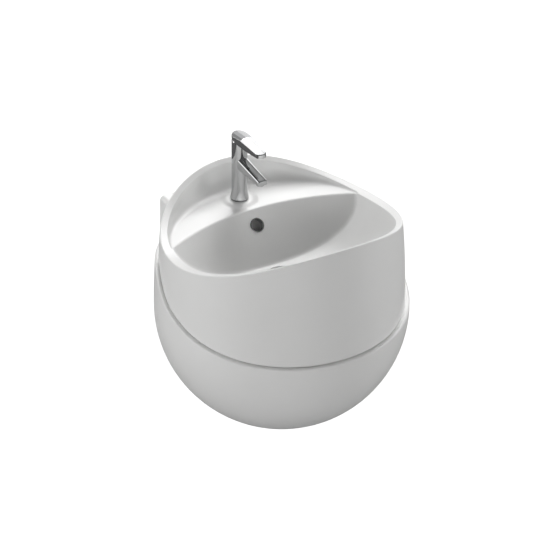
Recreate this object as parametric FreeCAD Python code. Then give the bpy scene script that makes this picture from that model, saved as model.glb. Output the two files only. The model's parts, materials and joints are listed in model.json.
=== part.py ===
import FreeCAD, Part
import math
import os
from FreeCAD import Rotation, Vector

# A wall hung basin: an egg-shaped ceramic basin body with a swept saddle rim, a spherical ceramic
# trap cover below it, a single lever mixer tap, a click waste and a bottle trap. Millimetres.
#
# The origin is the middle of the wall-bolt line on the wall plane: +X right along the wall,
# -Y away from the wall, +Z up. Below, p is a distance out from the wall and h is a height above
# the flat tap deck, so a point at (x, p, h) is at X = x, Y = -p, Z = DECK_ABOVE_BOLTS + h.

# Basin body: bowl, deck and rim
DECK_ABOVE_BOLTS = 110.0
BOWL_R = 250.0             # inside of the rim, a circle in plan
RIM_WIDTH = 20.2
BARREL_R = BOWL_R + RIM_WIDTH        # outside of the body at its widest
BOWL_WIDEST_H = 30.0       # the bowl is an upright cylinder above this level
BOWL_DROP = 127.0          # from the widest level to the bottom of the bowl
BOWL_WALL = 12.0
BARREL_WIDEST_H = -110.0
BARREL_CURVE_R = 2240.0    # the sides bulge a little
BARREL_WALL = 14.2
DECK_FRONT_P = 149.9       # front edge of the deck, on the middle plane
SHELF_R = 508.0            # radius of that edge in plan
SHELF_AXIS_P = DECK_FRONT_P + SHELF_R    # the bowl's sloping back is a cone about this axis
SHELF_FOOT_GAP = 7.53      # level ground between the sloping back and the waste
DECK_THICK = 16.0
DECK_EDGE_R = 6.0          # rounding of the deck's front edge
CREASE_FILLET = 16.0       # where the sloping back meets the round bowl
COVE_BACK_R = 42.0         # hollow corner between the deck and the splash wall, at the back
COVE_END_R = 6.5           # and at the ends of the deck
DECK_HALF_ANGLE = 73.0     # the deck spans this angle to each side of the back
SADDLE_P = 221.0           # lowest point of the rim, seen from the side
SADDLE_H = 2.2
SADDLE_FRONT_R = 586.0     # the rim sweeps up to the front on this arc
SADDLE_BACK_R = 362.0      # and up to the wall on this one
RIM_OUTER_FILLET = 2.5
RIM_INNER_FILLET = 1.6

# Seam between the basin body and the trap cover, seen from the side
SEAM_LOW_P = 590.0
SEAM_LOW_H = -177.0
SEAM_FRONT_R = 900.0
SEAM_TURN_P = 262.0        # the front arc gives way to a tighter one here
SEAM_FLANK_R = 200.0
SEAM_STEEP_P = 201.0       # and that one to an arc that levels out towards the wall
SEAM_EASE_R = 91.0
SEAM_GAP = 1.0

# Neck that stands the round body off the wall
NECK_HALF_WIDTH = 143.0
NECK_WALL = 14.0
NECK_DEPTH = 70.0          # how far the block reaches into the round body
NECK_DROP = 150.0
NECK_EDGE_FILLET = 10.0

# Trap cover
COVER_STEP = 9.8           # the cover stands this far outside the body
COVER_R = BARREL_R + COVER_STEP
COVER_STAND = 2.0          # from the wall to the round part of the cover
COVER_CENTRE_H = -166.0
COVER_WALL = 11.0
COVER_TOP_CURVE_R = 2510.0
BODY_AXIS_P = COVER_R + COVER_STAND      # upright axis of the round body, out from the wall
COVER_LIP_FILLET = 4.0
COVER_NECK_CENTRE_H = -230.0
COVER_NECK_DEPTH = 110.0
COVER_PLATE_GAP = 1.5      # between the cover and the body's neck

# Wall fixings of the basin body
BOLT_SPACING = 200.0
BOLT_HOLE_R = 9.0
STUD_R = 5.0
STUD_REACH = 45.0
STUD_CHAMFER = 1.0
STUD_WALL_R = 4.75         # end that screws into the wall
STUD_WALL_LENGTH = 50.0
BUSH_FIT = 0.1
BUSH_FLANGE_R = 14.0
BUSH_FLANGE = 3.0
BOLT_WASHER_R = 12.0
BOLT_WASHER = 2.5
BOLT_NUT_FLATS = 17.0
BOLT_NUT = 8.5

# Side fixings of the trap cover
SIDE_FIX_H = -200.0
SIDE_FIX_P = 26.0
SIDE_SCREW_R = 3.0
SIDE_HOLE_R = 4.5
SIDE_SCREW_LENGTH = 26.0
SIDE_HEAD_R = 5.5
SIDE_HEAD = 3.5
SIDE_WASHER_R = 10.0
SIDE_WASHER = 2.0
BRACKET_LEG = 45.0
BRACKET_HEIGHT = 36.0
BRACKET_THICK = 3.0
BRACKET_GAP = 0.2
ANCHOR_INSET = 27.0        # from the outer face of the angle
ANCHOR_SCREW_R = 2.5
ANCHOR_HEAD_R = 5.0
ANCHOR_HEAD = 3.0
ANCHOR_LENGTH = 30.0       # behind the wall plane
ANCHOR_SLOT = 1.2
BUFFER_LENGTH = 14.0
BUFFER_WIDTH = 6.0
BUFFER_INSET = 5.0         # from the outside of the body
BUFFER_ANGLES = (-60, -20, 20, 60)

# Overflow
OVERFLOW_DROP = 27.0       # below the deck, on the sloping back
OVERFLOW_HOLE_R = 15.0
OVERFLOW_RING_R = 16.6
OVERFLOW_RING = 1.6
OVERFLOW_BORE_R = 14.0
OVERFLOW_SLEEVE = 10.0
OVERFLOW_FIT = 0.1
OVERFLOW_LIFT = 0.3        # the flat ring stands this far off the curved back
DUCT_HALF_WIDTH = 20.0     # inside
DUCT_RUN = 14.0            # inside, from the bowl's back to the duct's back, measured level
DUCT_WALL = 8.0
DUCT_ROOF = 2.0            # extra thickness under the bottom of the bowl
DUCT_FOOT = 20.0           # the foot of the duct is set back by this

# Waste
WASTE_BOSS_R = 38.0
WASTE_BOSS_H = -134.0
WASTE_HOLE_R = 23.0
WASTE_RECESS_R = 33.0
WASTE_RECESS_H = -101.0
WASTE_SEAL = 1.0
WASTE_FLANGE_R = 31.5
WASTE_FLANGE = 3.0
WASTE_TUBE_R = 20.9
WASTE_TUBE_WALL = 2.4
WASTE_TUBE_LENGTH = 84.0
WASTE_SLOT_H = -124.0
WASTE_SLOT_WIDTH = 12.0
WASTE_SLOT_HEIGHT = 10.0
SHELF_SLOPE = (BODY_AXIS_P - WASTE_RECESS_R - SHELF_FOOT_GAP - DECK_FRONT_P) / (
    BOWL_DROP - BOWL_WIDEST_H)       # of the sloping back, run for each millimetre of depth
PLUG_CAP_R = 24.5
PLUG_CAP = 4.0
PLUG_STEM_R = 3.0
PLUG_RUN_GAP = 0.05
PLUG_SEAT = 1.5            # depth of the cap's seat in the flange
PLUG_CAP_GAP = 0.3
PLUG_LIFT = 0.3            # the closed cap stands this far off its seat
PLUG_SEAL_GAP = 1.5        # inside the waste's bore
PLUG_SEAL_WIDTH = 2.0
PLUG_STEM_GAP = 1.0        # below the end of the stem
CLICKER_R = 7.0
CLICKER_FLOOR = 3.0
CLICKER_TOP_H = -107.0
SPIDER_H = -138.0
SPIDER = 4.0
GASKET = 6.0
GASKET_R = 34.0
LOCKNUT_FLATS = 60.0
LOCKNUT = 8.0

# Bottle trap
TRAP_PIPE_R = 16.0
TRAP_PIPE_WALL = 1.6
TRAP_NUT_R = 25.0
TRAP_NUT = 22.0
NUT_CHAMFER = 1.2
NUT_FLUTES = 12
NUT_FLUTE_R = 3.1
NUT_FLUTE_OFFSET = 1.5
NUT_FLUTE_MARGIN = 3.3
TRAP_HEAD_R = 31.0
TRAP_HEAD_TOP_H = -250.0
TRAP_HEAD = 62.0
TRAP_NECK = 18.0
TRAP_BRANCH_GAP = 1.5      # between the shoulder of the bottle and the top of its outlet
TRAP_WALL = 2.5
TRAP_CUP = 85.0
TRAP_DIP = 46.0            # the down pipe reaches this far into the cup
TRAP_FLOOR = 4.0
TRAP_CUP_FILLET = 8.0
CUP_FLUTES = 10
CUP_FLUTE_R = 3.5
CUP_FLUTE_OFFSET = 2.0
CUP_FLUTE_MARGIN = 13.0
TRAP_OUTLET_R = 19.5
TRAP_OUTLET_LENGTH = 18.0
TRAP_ENTRY = 14.0          # of the outlet pipe inside the branch
SPIGOT_R = 15.5            # end of the outlet pipe, inside the wall
SPIGOT = 35.0
ROSETTE_R = 38.0
ROSETTE = 9.0
ROSETTE_EDGE = 2.5
ROSETTE_CROWN = 3.0
SEAL_THICK = 2.5
SEAL_FIT = 0.4

# Mixer tap
TAP_P = 100.0
TAP_HOLE_R = 17.5
TAP_MOUND = 5.0            # the deck rises by this to the tap
TAP_MOUND_R = 46.0
TAP_MOUND_TOP_R = 23.0
TAP_MOUND_BITE = 0.1       # its foot starts this far below the deck
TAP_SEAL = 2.0
TAP_BASE_R = 20.3
TAP_R = 17.5
TAP_FLARE_H = 30.0
TAP_ANKLE = 2.5            # upright edge of the foot
TAP_WAIST_R = 18.3         # the flare passes through this radius and level
TAP_WAIST_H = 18.5
TAP_TOP_FRONT_H = 148.0
TAP_TOP_BACK_H = 153.0
TAP_BORE_R = 14.5
TAP_BORE_FLOOR_H = 96.0
TAP_SHANK_R = 15.0
TAP_SHANK = 8.0
SPOUT_ROOT_HALF = 12.5
SPOUT_TIP_HALF = 11.3
SPOUT_ROOT_TOP_H = 113.0
SPOUT_TIP_TOP_H = 98.5
SPOUT_UNDER_H = 86.5
SPOUT_REACH = 101.0        # from the tap's axis to the front of the spout
SPOUT_FILLET = 2.0
SPOUT_CROWN_R = 34.0       # its top is rounded across
AERATOR_BACK = 12.0        # from the front of the spout to the middle of the outlet
AERATOR_R = 9.2
AERATOR_DEPTH = 6.0
AERATOR_PROUD = 4.0
AERATOR_WALL = 1.2
AERATOR_LIP = 1.5
AERATOR_PLATE = 3.0
AERATOR_PITCH = 2.4
AERATOR_SLOT = 1.0
WATERWAY_R = 3.5
TAP_STUD_R = 4.0
TAP_STUD_OFFSET = 8.0
TAP_STUD_DROP = 62.0
CLAMP_SEAL = 3.0
CLAMP_PLATE = 2.5
CLAMP_R = 25.0
CLAMP_SLOT = 14.0
TAP_NUT_FLATS = 13.0
TAP_NUT = 12.0
INLET_R = 5.0
INLET_DEPTH = 14.0
INLET_OFFSET = 6.5
INLET_BACK = 6.0

# Cartridge and lever
PIVOT_H = 140.0
CARTRIDGE_FIT = 0.05
CARTRIDGE_TOP_H = 134.0
CARRIER_R = 9.5
CARRIER_RUN_GAP = 0.05
CARRIER_RIM = 1.0
CARRIER_SLOT_GAP = 1.5
CARRIER_FLOOR_H = 128.0
CARRIER_TOP_H = 145.0
CLAMP_NUT_TOP_H = 142.0
DOME_R = 20.0
DOME_EDGE_R = 16.8
DOME_HOLE_R = 13.0
LEVER_GAP = 0.6
LEVER_REACH = 103.0
LEVER_TIP_HALF = 12.0
LEVER_BACK_UNDER_H = 161.0
LEVER_FRONT_UNDER_H = 152.0
LEVER_TIP_UNDER_H = 157.0
LEVER_BACK_TOP_H = 167.0
LEVER_CREST_H = 172.5
LEVER_CREST_REACH = 30.0
LEVER_CROWN_R = 42.0       # the cap and the tongue are rounded across
LEVER_TIP_TOP_H = 167.0
LEVER_FILLET = 1.8
SPINDLE_HALF = 3.5
SPINDLE_LENGTH = 24.0      # above the pivot
SPINDLE_TOP_H = PIVOT_H + SPINDLE_LENGTH
SPINDLE_FOOT = 5.5
PIN_R = 1.5
PIN_RUN_GAP = 0.05
PIN_INSET = 0.2
GRUB_R = 2.0
GRUB_DROP = 0.2            # from the top of the stem
GRUB_H = SPINDLE_TOP_H - GRUB_DROP
GRUB_LENGTH = 8.0
DOT_R = 2.6
DOT = 1.5

FAR = 400.0                # reaches past the whole part, for cutting tools


def at(x, p, h):
    return Vector(x, -p, DECK_ABOVE_BOLTS + h)


def box(x0, x1, p0, p1, h0, h1):
    return Part.makeBox(x1 - x0, p1 - p0, h1 - h0, at(x0, p1, h0))


def rod(r, p, h0, h1, x=0.0):
    """Upright cylinder."""
    return Part.makeCylinder(r, h1 - h0, at(x, p, h0))


def tube(r, bore, p, h0, h1, x=0.0):
    return rod(r, p, h0, h1, x).cut(rod(bore, p, h0, h1, x))


def bar(r, x, h, p0, p1):
    """Cylinder that points out from the wall."""
    return Part.makeCylinder(r, p1 - p0, at(x, p0, h), Vector(0, -1, 0))


def crossbar(r, x0, x1, p, h):
    """Cylinder along the wall."""
    return Part.makeCylinder(r, x1 - x0, at(x0, p, h), Vector(1, 0, 0))


def hexagon(flats, thick, centre, direction):
    """Hexagonal prism from centre along direction."""
    r = flats / math.sqrt(3.0)
    corners = [Vector(r * math.cos(math.radians(60 * i)), r * math.sin(math.radians(60 * i)), 0)
               for i in range(7)]
    prism = Part.Face(Part.makePolygon(corners)).extrude(Vector(0, 0, thick))
    prism.Placement = FreeCAD.Placement(centre, Rotation(Vector(0, 0, 1), direction))
    return prism


def prism_x(edges, x0, x1):
    """Solid between x0 and x1 with the closed outline of edges, drawn at x = 0."""
    face = Part.Face(Part.Wire(edges))
    face.translate(Vector(x0, 0, 0))
    return face.extrude(Vector(x1 - x0, 0, 0))


def along(p, h, length, angle):
    """The point at a distance from (p, h) in the side view; angle as in side_arc."""
    return p + length * math.cos(math.radians(angle)), h + length * math.sin(math.radians(angle))


def lines(points, x0, x1):
    """prism_x of a polygon of (p, h) corners."""
    corners = [at(0, p, h) for p, h in points]
    return prism_x(Part.makePolygon(corners + corners[:1]).Edges, x0, x1)


def turned(edges, p, x=0.0):
    """Solid turned about the upright axis at x, p, from edges drawn in the x-h plane."""
    face = Part.Face(Part.Wire(edges))
    return face.revolve(at(x, p, 0), Vector(0, 0, 1), 360)


def turned_points(points, p, x=0.0):
    """turned() of a polygon of (radius, h) corners."""
    corners = [at(x + r, p, h) for r, h in points]
    return turned(Part.makePolygon(corners + corners[:1]).Edges, p, x)


def crown(r, p0, h0, p1, h1):
    """Long bar whose highest line runs through two points of the side view."""
    start = at(0, p0, h0)
    run = (at(0, p1, h1) - start).normalize()
    down = Vector(1, 0, 0).cross(run)
    return Part.makeCylinder(r, FAR, start + down * r - run * (FAR / 2), run)


def arc(a, middle, b):
    return Part.Arc(a, middle, b).toShape()


def side_arc(p, h, r, angle0, angle1):
    """Arc in the side view about (p, h); angle 0 points out from the wall and 90 up."""
    return arc(*[at(0, *along(p, h, r, a)) for a in (angle0, (angle0 + angle1) / 2, angle1)])


def join(*shapes):
    whole = shapes[0].multiFuse(list(shapes[1:])) if len(shapes) > 1 else shapes[0]
    return whole.removeSplitter()


def group(solids):
    """Separate solids kept together in one node."""
    return Part.makeCompound(solids)


def both_sides(solid):
    """A solid and its mirror image across the middle of the basin."""
    return group([solid, solid.mirror(Vector(0, 0, 0), Vector(1, 0, 0))])


def edges_where(shape, test):
    return [edge for edge in shape.Edges if not edge.Degenerated and test(edge)]


# ---------------------------------------------------------------- basin body

def bowl_round(offset):
    """The bowl as a solid: half an ellipsoid below the widest level, a cylinder above it."""
    r = BOWL_R + offset
    drop = BOWL_DROP + offset
    centre = at(0, BODY_AXIS_P, BOWL_WIDEST_H)
    side = centre + Vector(r, 0, 0)
    bottom = centre - Vector(0, 0, drop)
    lift = Vector(0, 0, FAR / 2)
    ellipse = Part.Ellipse(side, centre + Vector(0, 0, drop), centre)
    return turned([ellipse.toShape(1.5 * math.pi, 2 * math.pi),
                   Part.makeLine(side, side + lift),
                   Part.makeLine(side + lift, centre + lift),
                   Part.makeLine(centre + lift, bottom)], BODY_AXIS_P)


def shelf_cone(offset, h0, h1):
    """Everything in front of the bowl's sloping back, between two levels."""
    r = SHELF_R + offset
    return Part.makeCone(r + SHELF_SLOPE * h0, r + SHELF_SLOPE * h1, h1 - h0,
                         at(0, SHELF_AXIS_P, h0))


def shelf_p(drop):
    """Distance of the sloping back from the wall, on the middle plane."""
    return SHELF_AXIS_P - SHELF_R + SHELF_SLOPE * drop


def deck_air():
    """Air above the deck: a sector whose lower corner is a cove that narrows to the deck's ends."""
    centre = at(0, BODY_AXIS_P, 0)
    sector = Part.makeCylinder(BOWL_R, FAR / 2, centre, Vector(0, 0, 1), DECK_HALF_ANGLE)
    sector.rotate(centre, Vector(0, 0, 1), 90 - DECK_HALF_ANGLE)
    corner = edges_where(sector, lambda edge: edge.Curve.TypeId == "Part::GeomCircle"
                         and edge.BoundBox.ZMax < centre.z + 1)
    right = sector.makeFillet(COVE_END_R, COVE_BACK_R, corner)
    return [right, right.mirror(centre, Vector(1, 0, 0))]


def deck_edge_ring():
    """The rounding of the deck's front edge, as a ring of air about the axis of the cone."""
    slant = math.atan(SHELF_SLOPE)
    reach = DECK_EDGE_R * math.tan((math.pi / 2 - slant) / 2)
    centre = (SHELF_R + reach, -DECK_EDGE_R)
    low = (SHELF_R - reach * math.sin(slant), -reach * math.cos(slant))
    turn = (math.pi / 2 - slant) / 2
    middle = (centre[0] - DECK_EDGE_R * math.sin(turn), centre[1] + DECK_EDGE_R * math.cos(turn))
    ends = [at(r, SHELF_AXIS_P, h) for r, h in (low, middle, (centre[0], 0), (SHELF_R - 1, 0))]
    return turned([arc(*ends[:3]), Part.makeLine(ends[2], ends[3]),
                   Part.makeLine(ends[3], ends[0])], SHELF_AXIS_P)


def bowl_air():
    """All the air inside the rim."""
    bowl = bowl_round(0)
    low = bowl.common(shelf_cone(0, -BOWL_DROP, 0))
    crease = edges_where(low, lambda edge: on_cone(edge)
                         and edge.BoundBox.ZMin < DECK_ABOVE_BOLTS - BOWL_DROP / 2)
    low = low.makeFillet(CREASE_FILLET, crease)
    pie = Part.makeCylinder(FAR, FAR / 2, at(0, BODY_AXIS_P, 0), Vector(0, 0, 1),
                            360 - 2 * DECK_HALF_ANGLE)
    pie.rotate(at(0, BODY_AXIS_P, 0), Vector(0, 0, 1), 90 + DECK_HALF_ANGLE)
    return join(low, bowl.common(pie), bowl.common(deck_edge_ring()), *deck_air())


def on_cone(edge):
    """True where the middle of an edge lies on the bowl's sloping back."""
    middle = edge.valueAt((edge.FirstParameter + edge.LastParameter) / 2)
    h = middle.z - DECK_ABOVE_BOLTS
    r = math.hypot(middle.x, middle.y + SHELF_AXIS_P)
    return abs(r - (SHELF_R + SHELF_SLOPE * h)) < 0.01


def barrel():
    """The round outside of the body, before the rim and the seam are cut."""
    widest = at(BARREL_R, BODY_AXIS_P, BARREL_WIDEST_H)
    centre_x = BARREL_R - BARREL_CURVE_R
    side = [at(centre_x + math.sqrt(BARREL_CURVE_R ** 2 - (h - BARREL_WIDEST_H) ** 2),
               BODY_AXIS_P, h) for h in (BARREL_WIDEST_H - 90, BARREL_WIDEST_H + 220)]
    low, high = [Vector(0, point.y, point.z) for point in side]
    return turned([arc(side[0], widest, side[1]), Part.makeLine(side[1], high),
                   Part.makeLine(high, low), Part.makeLine(low, side[0])], BODY_AXIS_P)


def saddle_cutter():
    """Everything above the rim: two arcs that meet level at the low point, swept across."""
    front = side_arc(SADDLE_P, SADDLE_H + SADDLE_FRONT_R, SADDLE_FRONT_R, -90, -45)
    back = side_arc(SADDLE_P, SADDLE_H + SADDLE_BACK_R, SADDLE_BACK_R, -90, -130)
    front_end = front.Vertexes[-1].Point
    back_end = back.Vertexes[-1].Point
    roof = DECK_ABOVE_BOLTS + FAR
    corners = [front_end, Vector(0, front_end.y, roof), Vector(0, back_end.y, roof), back_end]
    return prism_x(Part.__sortEdges__([front, back] + Part.makePolygon(corners).Edges), -FAR, FAR)


def seam_cutter(lift):
    """Everything below the seam, raised by lift. Seen from the side, the seam is a long arc at
    the front, a tighter one up the flank, and one curved the other way that levels out."""
    front_h = SEAM_LOW_H + lift + SEAM_FRONT_R
    turn = -90 - math.degrees(math.asin((SEAM_LOW_P - SEAM_TURN_P) / SEAM_FRONT_R))
    flank_p, flank_h = along(SEAM_LOW_P, front_h, SEAM_FRONT_R - SEAM_FLANK_R, turn)
    steep = -90 - math.degrees(math.asin((flank_p - SEAM_STEEP_P) / SEAM_FLANK_R))
    ease_p, ease_h = along(flank_p, flank_h, SEAM_FLANK_R + SEAM_EASE_R, steep)
    arcs = [side_arc(SEAM_LOW_P, front_h, SEAM_FRONT_R, -90, turn),
            side_arc(flank_p, flank_h, SEAM_FLANK_R, turn, steep),
            side_arc(ease_p, ease_h, SEAM_EASE_R, steep + 180, 90)]
    corners = [at(0, ease_p, ease_h + SEAM_EASE_R), at(0, -FAR, ease_h + SEAM_EASE_R),
               at(0, -FAR, -2 * FAR), at(0, SEAM_LOW_P, -2 * FAR),
               at(0, SEAM_LOW_P, front_h - SEAM_FRONT_R)]
    return prism_x(Part.__sortEdges__(arcs + Part.makePolygon(corners).Edges), -FAR, FAR)


def overflow_mouth():
    """Middle of the overflow hole on the sloping back, and the way out of it into the bowl."""
    run = math.hypot(1, SHELF_SLOPE)
    return at(0, shelf_p(OVERFLOW_DROP), -OVERFLOW_DROP), Vector(0, -1 / run, SHELF_SLOPE / run)


def overflow_rod(r, start, end):
    """Cylinder along the overflow hole, from start to end measured out of its mouth."""
    mouth, out = overflow_mouth()
    return Part.makeCylinder(r, end - start, mouth + out * start, out)


def duct(inset):
    """Overflow duct behind the sloping back, down to the waste boss; inset gives its inside."""
    cover = DUCT_WALL - inset
    half = DUCT_HALF_WIDTH + cover
    front = cover - BOWL_WALL * math.hypot(1, SHELF_SLOPE)
    back = front - DUCT_RUN - 2 * cover
    top_h = -DECK_THICK - inset / 2
    roof_h = BOWL_WIDEST_H - BOWL_DROP - BOWL_WALL - DUCT_ROOF + cover
    floor_h = WASTE_BOSS_H + inset
    return lines([(shelf_p(-top_h) + front, top_h), (shelf_p(-roof_h) + front, roof_h),
                  (BODY_AXIS_P, roof_h), (BODY_AXIS_P, floor_h),
                  (shelf_p(-floor_h) + back - DUCT_FOOT, floor_h),
                  (shelf_p(-top_h) + back, top_h)], -half, half)


def tap_mound():
    """Low, smooth rise of the deck under the tap."""
    mean_r = (TAP_MOUND_R + TAP_MOUND_TOP_R) / 2
    poles = [at(r, TAP_P, h) for r, h in ((TAP_MOUND_R, -TAP_MOUND_BITE), (mean_r, -TAP_MOUND_BITE),
                                          (mean_r, TAP_MOUND), (TAP_MOUND_TOP_R, TAP_MOUND))]
    slope = Part.BezierCurve()
    slope.setPoles(poles)
    low_h = -DECK_THICK / 2
    corners = [poles[3], at(0, TAP_P, TAP_MOUND), at(0, TAP_P, low_h),
               at(TAP_MOUND_R, TAP_P, low_h), poles[0]]
    return turned([slope.toShape()] + Part.makePolygon(corners).Edges, TAP_P)


def rim_edges(shape):
    """Edges round the rim's top."""
    def on_rim(edge):
        middle = edge.valueAt((edge.FirstParameter + edge.LastParameter) / 2)
        away = -middle.y - SADDLE_P
        r = SADDLE_FRONT_R if away > 0 else SADDLE_BACK_R
        rise = middle.z - DECK_ABOVE_BOLTS - (SADDLE_H + r - math.sqrt(r * r - away * away))
        return abs(rise) < 0.02 and edge.Length > BARREL_WALL
    return edges_where(shape, on_rim)


def basin_body():
    outside = barrel().cut(saddle_cutter()).cut(seam_cutter(0))
    outside = outside.makeFillet(RIM_OUTER_FILLET, rim_edges(outside))
    block = box(-NECK_HALF_WIDTH, NECK_HALF_WIDTH, 0, NECK_DEPTH, -NECK_DROP, 0)
    top_edges = edges_where(block, lambda edge: abs(edge.BoundBox.ZMin - DECK_ABOVE_BOLTS) < 0.01
                            and edge.BoundBox.YLength > NECK_DEPTH / 2)
    block = block.makeFillet(NECK_EDGE_FILLET, top_edges)
    bowl_outside = bowl_round(BOWL_WALL).common(
        shelf_cone(BOWL_WALL * math.hypot(1, SHELF_SLOPE), -FAR / 2, 0))
    hollow = join(rod(BARREL_R - BARREL_WALL, BODY_AXIS_P, -FAR, -DECK_THICK),
                  box(NECK_WALL - NECK_HALF_WIDTH, NECK_HALF_WIDTH - NECK_WALL, NECK_WALL,
                      BODY_AXIS_P, -FAR, -DECK_THICK)).cut(bowl_outside)
    hollow = hollow.cut(duct(0)).cut(rod(WASTE_BOSS_R, BODY_AXIS_P, WASTE_BOSS_H, 0))
    body = join(join(outside, block).cut(hollow).cut(bowl_air()), tap_mound())
    holes = [bar(BOLT_HOLE_R, side * BOLT_SPACING / 2, -DECK_ABOVE_BOLTS, -1, NECK_WALL + 1)
             for side in (-1, 1)]
    holes += [rod(TAP_HOLE_R, TAP_P, -DECK_THICK - 1, TAP_MOUND + 1),
              rod(WASTE_HOLE_R, BODY_AXIS_P, WASTE_BOSS_H - 1, 0),
              rod(WASTE_RECESS_R, BODY_AXIS_P, WASTE_RECESS_H, 0),
              overflow_rod(OVERFLOW_HOLE_R, -BOWL_WALL - DUCT_RUN / 3, BOWL_WALL), duct(DUCT_WALL)]
    for hole in holes:
        body = body.cut(hole)
    body = body.removeSplitter()
    return body.makeFillet(RIM_INNER_FILLET, [edge for edge in rim_edges(body) if in_bowl(edge)])


def in_bowl(edge):
    """True for an edge on the bowl's side of the rim."""
    middle = edge.valueAt((edge.FirstParameter + edge.LastParameter) / 2)
    return math.hypot(middle.x, middle.y + BODY_AXIS_P) < (BOWL_R + BARREL_R) / 2


# ---------------------------------------------------------------- trap cover

def cover_round(inset):
    """Half a ball below the widest level and slightly bulging sides above it."""
    r = COVER_R - inset
    top_h = -NECK_EDGE_FILLET
    rise = top_h - COVER_CENTRE_H
    curve_r = COVER_TOP_CURVE_R - inset
    side_x = r - curve_r + math.sqrt(curve_r ** 2 - rise ** 2)
    half_x = r - curve_r + math.sqrt(curve_r ** 2 - rise ** 2 / 4)
    low = at(0, BODY_AXIS_P, COVER_CENTRE_H - r)
    widest = at(r, BODY_AXIS_P, COVER_CENTRE_H)
    sixty = at(r / 2, BODY_AXIS_P, COVER_CENTRE_H - r * math.sqrt(3) / 2)
    top = at(side_x, BODY_AXIS_P, top_h)
    above = at(0, BODY_AXIS_P, top_h)
    bulge = at(half_x, BODY_AXIS_P, COVER_CENTRE_H + rise / 2)
    return turned([arc(low, sixty, widest), arc(widest, bulge, top), Part.makeLine(top, above),
                   Part.makeLine(above, low)], BODY_AXIS_P)


def cover_neck(inset, p0, p1):
    """Half-round neck that bears on the wall, or its inside."""
    half = NECK_HALF_WIDTH - inset
    round_part = bar(half, 0, COVER_NECK_CENTRE_H, p0, p1)
    return join(round_part, box(-half, half, p0, p1, COVER_NECK_CENTRE_H, 0))


def trap_cover():
    shell = cover_round(0).common(seam_cutter(-SEAM_GAP))
    lip = edges_where(shell, on_lip)
    shell = shell.makeFillet(COVER_LIP_FILLET, lip)
    low_neck = cover_neck(0, 0, COVER_NECK_DEPTH).cut(
        box(-FAR, FAR, -1, COVER_NECK_DEPTH + 1, -NECK_DROP - COVER_PLATE_GAP, FAR))
    cover = join(shell, low_neck)
    plate_half = NECK_HALF_WIDTH + COVER_PLATE_GAP
    cover = cover.cut(cover_round(COVER_WALL)).cut(cover_neck(NECK_WALL, -1, BODY_AXIS_P))
    cover = cover.cut(box(-plate_half, plate_half, -1, COVER_NECK_DEPTH,
                          -NECK_DROP - COVER_PLATE_GAP, FAR))
    for side in (-1, 1):
        cover = cover.cut(side_hole(side))
    return cover.removeSplitter()


def on_lip(edge):
    """True for the outer edge of the cover's lip."""
    middle = edge.valueAt((edge.FirstParameter + edge.LastParameter) / 2)
    r = math.hypot(middle.x, middle.y + BODY_AXIS_P)
    return r > BARREL_R and middle.z > DECK_ABOVE_BOLTS + COVER_CENTRE_H - 2 * BOWL_WALL


def side_hole(side):
    x = NECK_HALF_WIDTH + 1
    return crossbar(SIDE_HOLE_R, min(side * x, 0), max(side * x, 0), SIDE_FIX_P, SIDE_FIX_H)


def cover_brackets():
    """Steel angles screwed to the wall inside the cover's neck."""
    outer = NECK_HALF_WIDTH - NECK_WALL - BRACKET_GAP
    inner = outer - BRACKET_LEG
    h0, h1 = SIDE_FIX_H - BRACKET_HEIGHT / 2, SIDE_FIX_H + BRACKET_HEIGHT / 2
    angle = join(box(inner, outer, 0, BRACKET_THICK, h0, h1),
                 box(outer - BRACKET_THICK, outer, 0, BRACKET_LEG, h0, h1))
    angle = angle.cut(crossbar(SIDE_SCREW_R, inner, outer + 1, SIDE_FIX_P, SIDE_FIX_H))
    return both_sides(angle.cut(bar(ANCHOR_SCREW_R, anchor_x(), SIDE_FIX_H, -1, BRACKET_LEG)))


def anchor_x():
    return NECK_HALF_WIDTH - NECK_WALL - ANCHOR_INSET


def bracket_anchors():
    """Screws that hold the angles to the wall."""
    shank = bar(ANCHOR_SCREW_R, anchor_x(), SIDE_FIX_H, -ANCHOR_LENGTH, BRACKET_THICK)
    head = bar(ANCHOR_HEAD_R, anchor_x(), SIDE_FIX_H, BRACKET_THICK, BRACKET_THICK + ANCHOR_HEAD)
    slot = box(anchor_x() - ANCHOR_HEAD_R, anchor_x() + ANCHOR_HEAD_R,
               BRACKET_THICK + ANCHOR_HEAD / 2, BRACKET_THICK + 2 * ANCHOR_HEAD,
               SIDE_FIX_H - ANCHOR_SLOT / 2, SIDE_FIX_H + ANCHOR_SLOT / 2)
    return both_sides(join(shank, head).cut(slot))


def cover_washers():
    face = NECK_HALF_WIDTH
    ring = crossbar(SIDE_WASHER_R, face, face + SIDE_WASHER, SIDE_FIX_P, SIDE_FIX_H)
    ring = ring.makeFillet(SIDE_WASHER / 2.5, [outer_rim(ring, face + SIDE_WASHER)])
    return both_sides(ring.cut(crossbar(SIDE_SCREW_R, 0, FAR, SIDE_FIX_P, SIDE_FIX_H)))


def outer_rim(solid, x):
    return edges_where(solid, lambda edge: abs(edge.BoundBox.XMin - x) < 0.01
                       and edge.BoundBox.XLength < 0.01)[0]


def cover_screws():
    seat = NECK_HALF_WIDTH + SIDE_WASHER
    shank = crossbar(SIDE_SCREW_R, seat - SIDE_SCREW_LENGTH, seat, SIDE_FIX_P, SIDE_FIX_H)
    head = crossbar(SIDE_HEAD_R, seat, seat + SIDE_HEAD, SIDE_FIX_P, SIDE_FIX_H)
    head = head.makeFillet(SIDE_HEAD / 3, [outer_rim(head, seat + SIDE_HEAD)])
    socket = hexagon(2 * SIDE_HEAD_R / 2.4, SIDE_HEAD,
                     at(seat + SIDE_HEAD / 3, SIDE_FIX_P, SIDE_FIX_H), Vector(1, 0, 0))
    return both_sides(join(shank, head).cut(socket))


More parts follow.
